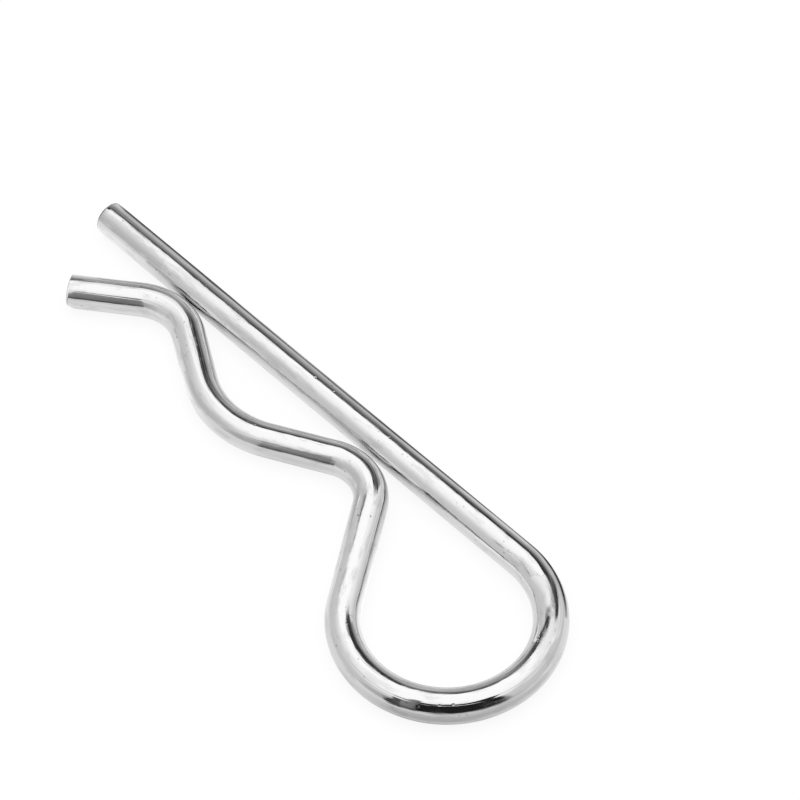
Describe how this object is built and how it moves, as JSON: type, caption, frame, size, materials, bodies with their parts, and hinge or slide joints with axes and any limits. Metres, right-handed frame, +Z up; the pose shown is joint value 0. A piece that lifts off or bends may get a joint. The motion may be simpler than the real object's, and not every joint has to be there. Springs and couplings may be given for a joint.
{
  "type": "hitch R clip pin",
  "caption": "Spring-wire R clip with a straight leg, a round eye, a hump that springs over a shaft, a flared tail and cropped ends.",
  "frame": {"origin": "centre of the clip's length and width, on the underside that it lies on", "axes": "+X along the straight leg, from the eye to the leg's free end; +Y across the clip, from the straight leg towards the bent leg; +Z up, square to the clip's plane"},
  "size_m": [0.0662, 0.0214, 0.0032],
  "materials": {
    "plated_wire": "bright zinc or nickel plate over drawn spring steel wire, with fine lines along the wire"
  },
  "bodies": {
    "root": {"r_clip": "plated_wire"}
  },
  "joints": []
}
